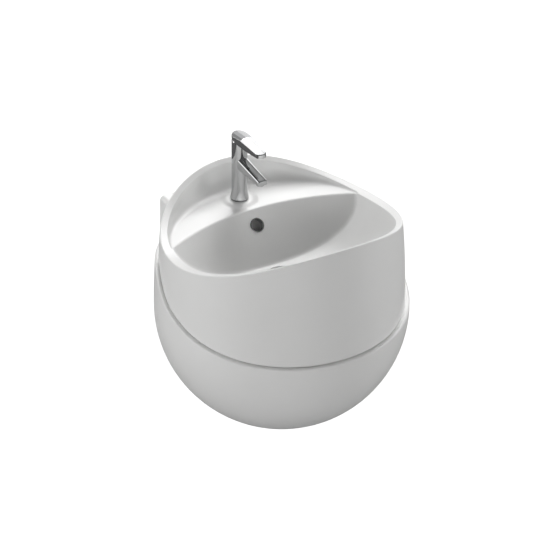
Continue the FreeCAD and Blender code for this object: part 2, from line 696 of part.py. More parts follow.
def seam_buffers():
    """Clear pads that keep the two glazed edges apart at the seam."""
    gap = seam_cutter(0).cut(seam_cutter(-SEAM_GAP))
    outer = BARREL_R - BUFFER_INSET
    ring = tube(outer, outer - BUFFER_WIDTH, BODY_AXIS_P, -FAR, 0)
    pads = []
    for angle in BUFFER_ANGLES:
        blade = Part.makeBox(BUFFER_LENGTH, FAR, 2 * FAR,
                             Vector(-BUFFER_LENGTH / 2, -BODY_AXIS_P - FAR, -FAR))
        blade.rotate(at(0, BODY_AXIS_P, 0), Vector(0, 0, 1), angle)
        pads.append(gap.common(ring).common(blade))
    return group([solid for pad in pads for solid in pad.Solids])


# ---------------------------------------------------------------- wall fixings

def bolts(make):
    return group([make(side * BOLT_SPACING / 2) for side in (-1, 1)])


def wall_stud(x):
    """Hanger bolt: the thinner end is in the wall."""
    stud = join(bar(STUD_R, x, -DECK_ABOVE_BOLTS, 0, STUD_REACH),
                bar(STUD_WALL_R, x, -DECK_ABOVE_BOLTS, -STUD_WALL_LENGTH, 0))
    tips = (-STUD_REACH, STUD_WALL_LENGTH)
    ends = edges_where(stud, lambda edge: edge.BoundBox.YLength < 0.01
                       and min(abs(edge.BoundBox.YMin - tip) for tip in tips) < 0.01)
    return stud.makeChamfer(STUD_CHAMFER, ends)


def wall_bush(x):
    flange_p = NECK_WALL + BUSH_FLANGE
    bush = join(bar(BOLT_HOLE_R - BUSH_FIT, x, -DECK_ABOVE_BOLTS, 0, NECK_WALL),
                bar(BUSH_FLANGE_R, x, -DECK_ABOVE_BOLTS, NECK_WALL, flange_p))
    return bush.cut(bar(STUD_R, x, -DECK_ABOVE_BOLTS, -1, flange_p + 1))


def wall_washer(x):
    p0 = NECK_WALL + BUSH_FLANGE
    washer = bar(BOLT_WASHER_R, x, -DECK_ABOVE_BOLTS, p0, p0 + BOLT_WASHER)
    return washer.cut(bar(STUD_R, x, -DECK_ABOVE_BOLTS, p0 - 1, p0 + BOLT_WASHER + 1))


def wall_nut(x):
    p0 = NECK_WALL + BUSH_FLANGE + BOLT_WASHER
    nut = hexagon(BOLT_NUT_FLATS, BOLT_NUT, at(x, p0, -DECK_ABOVE_BOLTS), Vector(0, -1, 0))
    return nut.cut(bar(STUD_R, x, -DECK_ABOVE_BOLTS, 0, FAR))


# ---------------------------------------------------------------- overflow and waste

def overflow_ring():
    """Trim ring with a sleeve in the overflow hole."""
    top = OVERFLOW_LIFT + OVERFLOW_RING
    mouth, out = overflow_mouth()
    ring = overflow_rod(OVERFLOW_RING_R, OVERFLOW_LIFT, top)
    lip = edges_where(ring, lambda edge: (edge.CenterOfMass - mouth).dot(out) > OVERFLOW_RING)
    ring = ring.makeFillet(OVERFLOW_RING * 0.6, lip)
    sleeve = overflow_rod(OVERFLOW_HOLE_R - OVERFLOW_FIT, OVERFLOW_LIFT - OVERFLOW_SLEEVE,
                          OVERFLOW_LIFT)
    return join(ring, sleeve).cut(overflow_rod(OVERFLOW_BORE_R, -OVERFLOW_SLEEVE - 1, top + 1))


def waste_bore():
    return WASTE_TUBE_R - WASTE_TUBE_WALL


def waste_seal():
    h1 = WASTE_RECESS_H + WASTE_SEAL
    return tube(WASTE_FLANGE_R - 1, WASTE_HOLE_R, BODY_AXIS_P, WASTE_RECESS_H, h1)


def waste_body():
    """Flanged and threaded waste with overflow slots and a spider that holds the clicker."""
    seat = WASTE_RECESS_H + WASTE_SEAL
    top = seat + WASTE_FLANGE
    bore = waste_bore()
    flange = rod(WASTE_FLANGE_R, BODY_AXIS_P, seat, top)
    flange = flange.makeFillet(WASTE_FLANGE / 3, edges_where(
        flange, lambda edge: abs(edge.BoundBox.ZMin - top - DECK_ABOVE_BOLTS) < 0.01))
    body = join(flange, rod(WASTE_TUBE_R, BODY_AXIS_P, seat - WASTE_TUBE_LENGTH, seat))
    body = body.cut(rod(bore, BODY_AXIS_P, seat - WASTE_TUBE_LENGTH - 1, top + 1))
    body = body.cut(rod(PLUG_CAP_R + PLUG_CAP_GAP, BODY_AXIS_P, top - PLUG_SEAT, top + 1))
    slot_top = WASTE_SLOT_H + WASTE_SLOT_HEIGHT / 2
    body = body.cut(box(-WASTE_TUBE_R - 1, WASTE_TUBE_R + 1, BODY_AXIS_P - WASTE_SLOT_WIDTH / 2,
                        BODY_AXIS_P + WASTE_SLOT_WIDTH / 2, WASTE_SLOT_H - WASTE_SLOT_HEIGHT / 2,
                        slot_top))
    spider = box(-bore, bore, BODY_AXIS_P - SPIDER / 2, BODY_AXIS_P + SPIDER / 2,
                 SPIDER_H, SPIDER_H + SPIDER)
    spider = join(spider, rod(CLICKER_R, BODY_AXIS_P, SPIDER_H, SPIDER_H + SPIDER))
    return join(body, spider)


def plug_clicker():
    """Latching insert that the plug's stem runs in."""
    clicker = rod(CLICKER_R, BODY_AXIS_P, SPIDER_H + SPIDER, CLICKER_TOP_H)
    clicker = clicker.makeFillet(1.0, edges_where(
        clicker, lambda edge: abs(edge.BoundBox.ZMin - CLICKER_TOP_H - DECK_ABOVE_BOLTS) < 0.01))
    return clicker.cut(rod(PLUG_STEM_R + PLUG_RUN_GAP, BODY_AXIS_P,
                           SPIDER_H + SPIDER + CLICKER_FLOOR, CLICKER_TOP_H + 1))


def plug_seat_h():
    return WASTE_RECESS_H + WASTE_SEAL + WASTE_FLANGE - PLUG_SEAT + PLUG_LIFT


def plug_cap():
    """Domed cap with its stem."""
    seat = plug_seat_h()
    cap = rod(PLUG_CAP_R, BODY_AXIS_P, seat, seat + PLUG_CAP)
    cap = cap.makeFillet(PLUG_CAP * 0.6, edges_where(
        cap, lambda edge: abs(edge.BoundBox.ZMin - seat - PLUG_CAP - DECK_ABOVE_BOLTS) < 0.01))
    stem = rod(PLUG_STEM_R, BODY_AXIS_P, SPIDER_H + SPIDER + CLICKER_FLOOR + PLUG_STEM_GAP, seat)
    collar = rod(plug_seal_bore(), BODY_AXIS_P, seat - PLUG_CAP, seat)
    return join(cap, stem, collar)


def plug_seal_bore():
    return waste_bore() - PLUG_SEAL_GAP - PLUG_SEAL_WIDTH


def plug_seal():
    """Rubber ring under the cap."""
    seat = plug_seat_h()
    return tube(waste_bore() - PLUG_SEAL_GAP, plug_seal_bore(), BODY_AXIS_P,
                seat - SEAL_THICK, seat)


def waste_gasket():
    return turned_points([(WASTE_TUBE_R, WASTE_BOSS_H), (GASKET_R, WASTE_BOSS_H),
                          (GASKET_R, WASTE_BOSS_H - GASKET * 0.6),
                          (GASKET_R - 4, WASTE_BOSS_H - GASKET),
                          (WASTE_TUBE_R, WASTE_BOSS_H - GASKET)], BODY_AXIS_P)


def waste_locknut():
    h1 = WASTE_BOSS_H - GASKET
    nut = hexagon(LOCKNUT_FLATS, LOCKNUT, at(0, BODY_AXIS_P, h1 - LOCKNUT), Vector(0, 0, 1))
    nut = nut.common(turned_points([(0, h1), (LOCKNUT_FLATS / 2, h1),
                                    (LOCKNUT_FLATS / 1.75, h1 - 3), (LOCKNUT_FLATS, h1 - 4),
                                    (LOCKNUT_FLATS, h1 - LOCKNUT), (0, h1 - LOCKNUT)],
                                   BODY_AXIS_P))
    return nut.cut(rod(WASTE_TUBE_R, BODY_AXIS_P, h1 - LOCKNUT - 1, h1 + 1))


# ---------------------------------------------------------------- bottle trap

def tail_end_h():
    return WASTE_RECESS_H + WASTE_SEAL - WASTE_TUBE_LENGTH


def ribbed_nut(bore, start, direction):
    """Round hand nut with flutes, from start along direction."""
    origin = Vector(0, 0, 0)
    nut = Part.makeCylinder(TRAP_NUT_R, TRAP_NUT, origin)
    nut = nut.makeChamfer(NUT_CHAMFER, edges_where(
        nut, lambda edge: edge.Curve.TypeId == "Part::GeomCircle"))
    for i in range(NUT_FLUTES):
        flute = Part.makeCylinder(NUT_FLUTE_R, TRAP_NUT - 2 * NUT_FLUTE_MARGIN,
                                  Vector(TRAP_NUT_R + NUT_FLUTE_OFFSET, 0, NUT_FLUTE_MARGIN))
        flute.rotate(origin, Vector(0, 0, 1), 360 * i / NUT_FLUTES)
        nut = nut.cut(flute)
    nut = nut.cut(Part.makeCylinder(bore, TRAP_NUT + 2, Vector(0, 0, -1)))
    nut.Placement = FreeCAD.Placement(start, Rotation(Vector(0, 0, 1), direction))
    return nut


def trap_inlet_nut():
    """Joins the waste's tail to the down pipe, with an inward lip below the seal."""
    low_h = tail_end_h() - SEAL_THICK - TRAP_WALL
    nut = ribbed_nut(TRAP_PIPE_R, at(0, BODY_AXIS_P, low_h), Vector(0, 0, 1))
    return nut.cut(rod(WASTE_TUBE_R, BODY_AXIS_P, low_h + TRAP_WALL, low_h + TRAP_NUT + 1))


def trap_inlet_seal():
    h0 = tail_end_h() - SEAL_THICK
    return tube(WASTE_TUBE_R - SEAL_FIT, TRAP_PIPE_R, BODY_AXIS_P, h0, h0 + SEAL_THICK)


def trap_down_pipe():
    low_h = TRAP_HEAD_TOP_H - TRAP_HEAD - SEAL_THICK - TRAP_DIP
    return tube(TRAP_PIPE_R, TRAP_PIPE_R - TRAP_PIPE_WALL, BODY_AXIS_P, low_h, tail_end_h())


def trap_head_nut():
    """Squeezes the seal round the down pipe, with an inward lip above it."""
    h0 = TRAP_HEAD_TOP_H + SEAL_THICK + TRAP_WALL - TRAP_NUT
    nut = ribbed_nut(TRAP_PIPE_R, at(0, BODY_AXIS_P, h0), Vector(0, 0, 1))
    return nut.cut(rod(WASTE_TUBE_R, BODY_AXIS_P, h0 - 1, h0 + TRAP_NUT - TRAP_WALL))


def trap_head_seal():
    return tube(WASTE_TUBE_R - SEAL_FIT, TRAP_PIPE_R, BODY_AXIS_P, TRAP_HEAD_TOP_H,
                TRAP_HEAD_TOP_H + SEAL_THICK)


def outlet_h():
    return TRAP_HEAD_TOP_H - TRAP_NECK - TRAP_BRANCH_GAP - TRAP_OUTLET_R


def trap_head():
    """Upper half of the bottle, with the socket for the down pipe and the outlet branch."""
    shoulder_h = TRAP_HEAD_TOP_H - TRAP_NECK
    low_h = TRAP_HEAD_TOP_H - TRAP_HEAD
    head = join(rod(WASTE_TUBE_R, BODY_AXIS_P, shoulder_h, TRAP_HEAD_TOP_H),
                rod(TRAP_HEAD_R, BODY_AXIS_P, low_h, shoulder_h),
                bar(TRAP_OUTLET_R, 0, outlet_h(), outlet_end_p(), BODY_AXIS_P))
    hollow = join(rod(TRAP_PIPE_R, BODY_AXIS_P, low_h, TRAP_HEAD_TOP_H + 1),
                  rod(TRAP_HEAD_R - TRAP_WALL, BODY_AXIS_P, low_h - 1, shoulder_h - TRAP_WALL),
                  bar(TRAP_PIPE_R, 0, outlet_h(), outlet_end_p() - 1, BODY_AXIS_P))
    return head.cut(hollow)


def outlet_end_p():
    return BODY_AXIS_P - TRAP_HEAD_R - TRAP_OUTLET_LENGTH


def trap_cup_seal():
    h1 = TRAP_HEAD_TOP_H - TRAP_HEAD
    return tube(TRAP_HEAD_R, TRAP_HEAD_R - TRAP_WALL, BODY_AXIS_P, h1 - SEAL_THICK, h1)


def trap_cup():
    """Lower half of the bottle, with finger flutes."""
    h1 = TRAP_HEAD_TOP_H - TRAP_HEAD - SEAL_THICK
    h0 = h1 - TRAP_CUP
    cup = rod(TRAP_HEAD_R, BODY_AXIS_P, h0, h1)
    cup = cup.makeFillet(TRAP_CUP_FILLET, edges_where(
        cup, lambda edge: abs(edge.BoundBox.ZMax - h0 - DECK_ABOVE_BOLTS) < 0.01))
    for i in range(CUP_FLUTES):
        flute = rod(CUP_FLUTE_R, BODY_AXIS_P + TRAP_HEAD_R + CUP_FLUTE_OFFSET,
                    h0 + CUP_FLUTE_MARGIN, h1 - CUP_FLUTE_MARGIN)
        flute.rotate(at(0, BODY_AXIS_P, 0), Vector(0, 0, 1), 360 * i / CUP_FLUTES)
        cup = cup.cut(flute)
    return cup.cut(rod(TRAP_HEAD_R - TRAP_WALL, BODY_AXIS_P, h0 + TRAP_FLOOR, h1 + 1))


def trap_outlet_nut():
    p0 = outlet_end_p() - SEAL_THICK - TRAP_WALL + TRAP_NUT
    nut = ribbed_nut(TRAP_PIPE_R, at(0, p0, outlet_h()), Vector(0, 1, 0))
    return nut.cut(bar(TRAP_OUTLET_R, 0, outlet_h(), outlet_end_p() - SEAL_THICK, p0 + 1))


def trap_outlet_seal():
    ring = bar(TRAP_OUTLET_R - SEAL_FIT, 0, outlet_h(), outlet_end_p() - SEAL_THICK, outlet_end_p())
    return ring.cut(bar(TRAP_PIPE_R, 0, outlet_h(), 0, BODY_AXIS_P))


def trap_wall_pipe():
    """Outlet pipe, with a thinner spigot that goes into the wall."""
    pipe = join(bar(TRAP_PIPE_R, 0, outlet_h(), 0, outlet_end_p() + TRAP_ENTRY),
                bar(SPIGOT_R, 0, outlet_h(), -SPIGOT, 0))
    return pipe.cut(bar(TRAP_PIPE_R - TRAP_PIPE_WALL, 0, outlet_h(), -SPIGOT - 1, BODY_AXIS_P))


def wall_rosette():
    """Dished collar round the pipe at the wall."""
    outline = [(TRAP_PIPE_R, 0), (ROSETTE_R, 0), (ROSETTE_R - ROSETTE_EDGE / 2, ROSETTE_EDGE),
               (TRAP_PIPE_R + ROSETTE_CROWN, ROSETTE), (TRAP_PIPE_R, ROSETTE)]
    plate = Part.Face(Part.makePolygon([at(r, p, outlet_h())
                                        for r, p in outline + outline[:1]]))
    return plate.revolve(at(0, 0, outlet_h()), Vector(0, 1, 0), 360)


# ---------------------------------------------------------------- mixer tap

def tap_top_cut():
    """Everything above the slanting top of the tap's column."""
    p0, p1 = TAP_P - 2 * TAP_R, TAP_P + 2 * TAP_R
    drop = (TAP_TOP_BACK_H - TAP_TOP_FRONT_H) / (2 * TAP_R)
    h0 = TAP_TOP_BACK_H + drop * TAP_R
    h1 = TAP_TOP_FRONT_H - drop * TAP_R
    return lines([(p0, h0), (p1, h1), (p1, FAR), (p0, FAR)], -FAR, FAR)


def spout():
    """Wedge with an upright front; it narrows a little towards the outlet."""
    sections = []
    for p, half, top_h in ((TAP_P, SPOUT_ROOT_HALF, SPOUT_ROOT_TOP_H),
                           (TAP_P + SPOUT_REACH, SPOUT_TIP_HALF, SPOUT_TIP_TOP_H)):
        corners = [at(-half, p, SPOUT_UNDER_H), at(half, p, SPOUT_UNDER_H),
                   at(half, p, top_h), at(-half, p, top_h)]
        sections.append(Part.makePolygon(corners + corners[:1]))
    wedge = Part.makeLoft(sections, True, True).common(
        crown(SPOUT_CROWN_R, TAP_P, SPOUT_ROOT_TOP_H, TAP_P + SPOUT_REACH, SPOUT_TIP_TOP_H))
    outer = edges_where(wedge, lambda edge: edge.BoundBox.YMax < 1 - TAP_P)
    return wedge.makeFillet(SPOUT_FILLET, outer)


def outlet_p():
    return TAP_P + SPOUT_REACH - AERATOR_BACK


def foot_h():
    return TAP_MOUND + TAP_SEAL


def tap_body():
    """Flared column and spout in one casting, bored for the cartridge and the waterway."""
    flare = at(TAP_R, TAP_P, TAP_FLARE_H)
    foot = at(TAP_BASE_R, TAP_P, foot_h())
    ankle = at(TAP_BASE_R, TAP_P, foot_h() + TAP_ANKLE)
    waist = at(TAP_WAIST_R, TAP_P, TAP_WAIST_H)
    top = TAP_TOP_BACK_H + TAP_R
    edges = [Part.makeLine(foot, ankle), arc(ankle, waist, flare),
             Part.makeLine(flare, at(TAP_R, TAP_P, top)),
             Part.makeLine(at(TAP_R, TAP_P, top), at(0, TAP_P, top)),
             Part.makeLine(at(0, TAP_P, top), at(0, TAP_P, foot_h())),
             Part.makeLine(at(0, TAP_P, foot_h()), foot)]
    body = join(turned(edges, TAP_P), spout(), rod(TAP_SHANK_R, TAP_P, -TAP_SHANK, foot_h()))
    body = body.cut(tap_top_cut()).cut(rod(TAP_BORE_R, TAP_P, TAP_BORE_FLOOR_H, top))
    duct_h = SPOUT_UNDER_H + AERATOR_DEPTH
    body = body.cut(rod(AERATOR_R, outlet_p(), SPOUT_UNDER_H - 1, duct_h))
    body = body.cut(bar(WATERWAY_R, 0, duct_h - WATERWAY_R, TAP_P, outlet_p()))
    body = body.cut(rod(WATERWAY_R, TAP_P, duct_h - 2 * WATERWAY_R, TAP_BORE_FLOOR_H + 1))
    body = body.cut(rod(TAP_STUD_R, TAP_P + TAP_STUD_OFFSET, -TAP_SHANK - 1, TAP_FLARE_H))
    for side in (-1, 1):
        body = body.cut(rod(INLET_R, TAP_P - INLET_BACK, -TAP_SHANK - 1,
                            INLET_DEPTH - TAP_SHANK, side * INLET_OFFSET))
    return body


def tap_base_seal():
    return tube(TAP_BASE_R - 1, TAP_SHANK_R, TAP_P, TAP_MOUND, foot_h())


def clamp_shape(r, h0, thick):
    """Horseshoe round the inlets, with a hole for the stud."""
    plate = rod(r, TAP_P, h0, h0 + thick)
    plate = plate.cut(box(-CLAMP_SLOT, CLAMP_SLOT, TAP_P - r - 1, TAP_P, h0 - 1, h0 + thick + 1))
    return plate.cut(rod(TAP_STUD_R, TAP_P + TAP_STUD_OFFSET, h0 - 1, h0 + thick + 1))


def tap_clamp_seal():
    return clamp_shape(CLAMP_R, -DECK_THICK - CLAMP_SEAL, CLAMP_SEAL)


def tap_clamp_plate():
    return clamp_shape(CLAMP_R - 1, -DECK_THICK - CLAMP_SEAL - CLAMP_PLATE, CLAMP_PLATE)


def tap_stud():
    return rod(TAP_STUD_R, TAP_P + TAP_STUD_OFFSET, -TAP_STUD_DROP, TAP_FLARE_H)


def tap_nut():
    h1 = -DECK_THICK - CLAMP_SEAL - CLAMP_PLATE
    p = TAP_P + TAP_STUD_OFFSET
    nut = hexagon(TAP_NUT_FLATS, TAP_NUT, at(0, p, h1 - TAP_NUT), Vector(0, 0, 1))
    return nut.cut(rod(TAP_STUD_R, p, h1 - TAP_NUT - 1, h1 + 1))


def aerator_housing():
    """Chrome ring that screws into the spout."""
    low_h = SPOUT_UNDER_H - AERATOR_PROUD
    ring = rod(AERATOR_R, outlet_p(), low_h, SPOUT_UNDER_H + AERATOR_DEPTH)
    ring = ring.makeFillet(1.0, edges_where(
        ring, lambda edge: abs(edge.BoundBox.ZMax - low_h - DECK_ABOVE_BOLTS) < 0.01))
    ring = ring.cut(rod(AERATOR_R - AERATOR_WALL, outlet_p(), low_h + AERATOR_LIP, FAR))
    return ring.cut(rod(AERATOR_R - 2 * AERATOR_WALL, outlet_p(), low_h - 1, FAR))


def aerator_insert():
    """Slotted jet plate inside the ring."""
    h0 = SPOUT_UNDER_H - AERATOR_PROUD + AERATOR_LIP
    insert = rod(AERATOR_R - AERATOR_WALL, outlet_p(), h0, h0 + AERATOR_PLATE)
    for i in range(-2, 3):
        p = outlet_p() + i * AERATOR_PITCH
        half = math.sqrt((AERATOR_R - 3 * AERATOR_WALL) ** 2 - (i * AERATOR_PITCH) ** 2)
        insert = insert.cut(box(-half, half, p - AERATOR_SLOT / 2, p + AERATOR_SLOT / 2,
                                h0 - 1, FAR))
    return insert


def cartridge():
    """Ceramic-disc cartridge with a seat for the turning carrier."""
    body = rod(TAP_BORE_R - CARTRIDGE_FIT, TAP_P, TAP_BORE_FLOOR_H, CARTRIDGE_TOP_H)
    return body.cut(rod(CARRIER_R + CARRIER_RUN_GAP, TAP_P, CARRIER_FLOOR_H, CARTRIDGE_TOP_H + 1))


def cartridge_nut():
    """Brass ring that holds the cartridge down."""
    return tube(TAP_BORE_R - CARTRIDGE_FIT, CARRIER_R + CARRIER_RUN_GAP, TAP_P, CARTRIDGE_TOP_H,
                CLAMP_NUT_TOP_H)


def pivot():
    return at(0, TAP_P, PIVOT_H)


def cartridge_dome():
    """Chrome ball-shaped collar over the cartridge, which the lever slides round."""
    ball = Part.makeSphere(DOME_R, pivot())
    dome = ball.common(rod(DOME_EDGE_R, TAP_P, CLAMP_NUT_TOP_H, PIVOT_H + DOME_R))
    dome = dome.cut(rod(DOME_HOLE_R, TAP_P, CLAMP_NUT_TOP_H - 1, PIVOT_H + DOME_R))
    shoulder = join(tap_top_cut(), rod(TAP_BORE_R, TAP_P, CLAMP_NUT_TOP_H, PIVOT_H + DOME_R))
    return dome.common(shoulder)


def spindle_carrier():
    """Slotted barrel that turns in the cartridge and carries the lever's pin."""
    half = SPINDLE_HALF + PIN_RUN_GAP
    slot = box(-half, half, TAP_P - CARRIER_R + CARRIER_RIM, TAP_P + CARRIER_R - CARRIER_RIM,
               PIVOT_H - SPINDLE_FOOT - CARRIER_SLOT_GAP, CARRIER_TOP_H + 1)
    barrel_part = rod(CARRIER_R, TAP_P, CARRIER_FLOOR_H, CARRIER_TOP_H).cut(slot)
    return barrel_part.cut(crossbar(PIN_R, -CARRIER_R, CARRIER_R, TAP_P, PIVOT_H))


def spindle_pin():
    reach = math.sqrt(CARRIER_R ** 2 - PIN_R ** 2) - PIN_INSET
    return crossbar(PIN_R, -reach, reach, TAP_P, PIVOT_H)


def lever_spindle():
    """Square stem that tilts on the pin."""
    stem = box(-SPINDLE_HALF, SPINDLE_HALF, TAP_P - SPINDLE_HALF, TAP_P + SPINDLE_HALF,
               PIVOT_H, SPINDLE_TOP_H)
    foot = crossbar(SPINDLE_FOOT, -SPINDLE_HALF, SPINDLE_HALF, TAP_P, PIVOT_H)
    return join(stem, foot).cut(crossbar(PIN_R + PIN_RUN_GAP, -FAR, FAR, TAP_P, PIVOT_H))


def lever():
    """Paddle lever: a round cap over the column that runs out into a flat, rounded tongue."""
    front = TAP_P + LEVER_REACH
    tip_p = front - LEVER_TIP_HALF
    side = [(TAP_R, TAP_P), (LEVER_TIP_HALF, tip_p)]
    corners = [at(x, p, 0) for x, p in side]
    mirrored = [at(-x, p, 0) for x, p in side[::-1]]
    outline = Part.Wire([Part.makeLine(*corners), arc(corners[1], at(0, front, 0), mirrored[0]),
                         Part.makeLine(*mirrored),
                         arc(mirrored[1], at(0, TAP_P - TAP_R, 0), corners[0])])
    plan = Part.Face(outline).extrude(Vector(0, 0, FAR))
    back = TAP_P - TAP_R
    crest = (TAP_P + LEVER_CREST_REACH, LEVER_CREST_H)
    under = lines([(back - 1, LEVER_BACK_UNDER_H), (TAP_P + TAP_R, LEVER_FRONT_UNDER_H),
                   (TAP_P + 3 * TAP_R, LEVER_FRONT_UNDER_H), (front + 1, LEVER_TIP_UNDER_H),
                   (front + 1, FAR), (back - 1, FAR)], -FAR, FAR)
    handle = plan.common(under).common(crown(LEVER_CROWN_R, back, LEVER_BACK_TOP_H, *crest))
    handle = handle.common(crown(LEVER_CROWN_R, *crest, front, LEVER_TIP_TOP_H))
    handle = handle.makeFillet(LEVER_FILLET, edges_where(handle, on_lever_top))
    handle = handle.cut(Part.makeSphere(DOME_R + LEVER_GAP, pivot()))
    half = SPINDLE_HALF + CARTRIDGE_FIT
    handle = handle.cut(box(-half, half, TAP_P - half, TAP_P + half, PIVOT_H, SPINDLE_TOP_H))
    handle = handle.cut(bar(GRUB_R, 0, GRUB_H, TAP_P - TAP_R - 1, TAP_P - SPINDLE_HALF))
    return handle.cut(bar(DOT_R, 0, GRUB_H, TAP_P - TAP_R - 1, TAP_P - TAP_R + DOT))


def on_lever_top(edge):
    """True for the upper outline of the lever."""
    middle = edge.valueAt((edge.FirstParameter + edge.LastParameter) / 2)
    crest = edge.BoundBox.YLength < TAP_R / 3 and edge.BoundBox.XLength > TAP_R
    return middle.z > DECK_ABOVE_BOLTS + LEVER_BACK_UNDER_H + 1 and not crest


def lever_grub_screw():
    end = TAP_P - SPINDLE_HALF - CARTRIDGE_FIT
    screw = bar(GRUB_R, 0, GRUB_H, end - GRUB_LENGTH, end)
    socket = hexagon(GRUB_R, GRUB_R, at(0, end - GRUB_LENGTH, GRUB_H), Vector(0, -1, 0))
    return screw.cut(socket)


def lever_dot():
    """Plain plug over the grub screw."""
    back = TAP_P - TAP_R
    plug = bar(DOT_R, 0, GRUB_H, back - DOT, back + DOT)
    return plug.common(rod(TAP_R, TAP_P, 0, FAR))


# ---------------------------------------------------------------- all the pieces

PIECES = {
    "basin_body": basin_body,
    "trap_cover": trap_cover,
    "cover_brackets": cover_brackets,
    "bracket_anchors": bracket_anchors,
    "cover_washers": cover_washers,
    "cover_screws": cover_screws,
    "seam_buffers": seam_buffers,
    "wall_studs": lambda: bolts(wall_stud),
    "wall_bushes": lambda: bolts(wall_bush),
    "wall_washers": lambda: bolts(wall_washer),
    "wall_nuts": lambda: bolts(wall_nut),
    "overflow_ring": overflow_ring,
    "waste_seal": waste_seal,
    "waste_body": waste_body,
    "plug_clicker": plug_clicker,
    "plug_cap": plug_cap,
    "plug_seal": plug_seal,
    "waste_gasket": waste_gasket,
    "waste_locknut": waste_locknut,
    "trap_inlet_nut": trap_inlet_nut,
    "trap_inlet_seal": trap_inlet_seal,
    "trap_down_pipe": trap_down_pipe,
    "trap_head_nut": trap_head_nut,
    "trap_head_seal": trap_head_seal,
    "trap_head": trap_head,
    "trap_cup_seal": trap_cup_seal,
    "trap_cup": trap_cup,
    "trap_outlet_nut": trap_outlet_nut,
    "trap_outlet_seal": trap_outlet_seal,
    "trap_wall_pipe": trap_wall_pipe,
    "wall_rosette": wall_rosette,
    "tap_body": tap_body,
    "tap_base_seal": tap_base_seal,
    "tap_clamp_seal": tap_clamp_seal,
    "tap_clamp_plate": tap_clamp_plate,
    "tap_stud": tap_stud,
    "tap_nut": tap_nut,
    "aerator_housing": aerator_housing,
    "aerator_insert": aerator_insert,
    "cartridge": cartridge,
    "cartridge_nut": cartridge_nut,
    "cartridge_dome": cartridge_dome,
    "spindle_carrier": spindle_carrier,
    "spindle_pin": spindle_pin,
    "lever_spindle": lever_spindle,
    "lever": lever,
    "lever_grub_screw": lever_grub_screw,
    "lever_dot": lever_dot,
}


def main():
    os.makedirs("parts", exist_ok=True)
    for node, make in PIECES.items():
        make().exportStep(os.path.join("parts", node + ".step"))


main()
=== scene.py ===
"""Looks of a wall hung basin: glazed ceramic, chrome and the hardware behind it."""

import json
import math

import bpy
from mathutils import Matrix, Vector

# Angles are in degrees. An azimuth counts from straight ahead, positive towards the right.
CAMERA_AZIMUTH = -30.5
CAMERA_ELEVATION = 30.8
VIEW_WIDTH = 1.225         # metres across the frame
VIEW_TARGET = Vector((0.0, -0.2746, -0.0055))
VIEW_DISTANCE = 4.0

FLOOR_Z = -0.74            # the deck is 0.85 m above the floor
FLOOR_SIZE = 24.0
FLOOR_ALBEDO = 0.44
FLOOR_GLOW = 0.75

# Lamps: azimuth, elevation, spread, strength.
LOW_RING = [(azimuth, 8, 26, 0.5) for azimuth in range(-180, 180, 45)]
SUNS = LOW_RING + [
    (135, 50, 30, 1.8),    # the main lamp, high behind the right
    (-90, 8, 30, 0.6),     # left
    (-130, 45, 30, 0.5),   # high behind the left
    (90, 20, 30, 0.8),     # right
]

TENT_RADIUS = 3.5
TENT_TOP = 2.8
TENT_FOOT = -0.72          # just above the floor
TENT_GREY = 0.15
TENT_SEGMENTS = 48

# Painted reflections: the panels below are glowing strips that light nothing and only shiny
# surfaces see.
# Panels stand on a dome round the tap. Their azimuths count from straight behind instead. Each
# post is (azimuth, elevation) of its foot, then of its head.
TAP_MIDDLE = Vector((0.0, -0.12, 0.2))
PANEL_DISTANCE = 2.0
FRONT_PANEL_DISTANCE = 1.98   # stands before the others
FOOT = -14                    # elevation at which the tall panels begin
LOW_FOOT = -12
# Painted reflection shaped like a bright window, seen on the chrome and the glaze.
PAINTED_WINDOW_POSTS = ((-62, FOOT, -62, 45), (-43, FOOT, -50, 50), (-41, 20, -38, 55), (-30, 31, -28, 57),
                (-15, 39, -14, 60), (0, 41, 0, 60), (15, 38, 15, 56), (24, 33, 26, 49),
                (28, 29, 31, 45), (33, 24, 36, 41), (38, 15, 41, 34.5), (41, 0, 45, 27),
                (42, FOOT, 48, 26), (56, FOOT, 56, 22))
# Painted sheen: a very bright strip seen only in reflections, which whitens the deck and the rim
# top.
PAINTED_SHEEN_POSTS = ((12, 36, 12, 52), (22, 32, 22, 48), (29, 28, 30, 44), (36, 21, 37, 38))
# Painted highlight: a strong low strip behind the tap, seen only in reflections.
LOW_POSTS = ((2, LOW_FOOT, 2, 16), (14, LOW_FOOT, 14, 17), (26, LOW_FOOT, 26, 11))
# Painted reflections on the lever cap: strips of different greys side by side.
CAP_POSTS = ((-41, FOOT, -40, 18), (-30, FOOT, -30, 30), (-15, FOOT, -15, 38), (-5, FOOT, -5, 40),
             (5, FOOT, 5, 40), (13, FOOT, 13, 38), (20, FOOT, 20, 35), (28, FOOT, 28, 28),
             (34, FOOT, 34, 22), (39, FOOT, 39, 11))
# Painted dim reflection high above the tap.
ABOVE_POSTS = ((15, 57, 15, 80), (26, 50, 26, 80), (31, 46, 31, 80), (36, 42, 40, 75),
               (41, 35.5, 60, 70), (45, 28, 75, 60))

# Panels: name, posts, grey, distance.
PANELS = (
    ("painted_window_reflection", PAINTED_WINDOW_POSTS, 1.7, PANEL_DISTANCE),
    ("sheen", PAINTED_SHEEN_POSTS, 7.0, FRONT_PANEL_DISTANCE),
    ("low", LOW_POSTS, 4.0, FRONT_PANEL_DISTANCE),
    ("cap_left", CAP_POSTS[:4], 0.6, PANEL_DISTANCE),
    ("cap_middle", CAP_POSTS[3:6], 0.38, PANEL_DISTANCE),
    ("cap_right", CAP_POSTS[5:8], 0.7, PANEL_DISTANCE),
    ("cap_edge", CAP_POSTS[7:], 1.05, PANEL_DISTANCE),
    ("above", ABOVE_POSTS, 0.33, PANEL_DISTANCE),
)

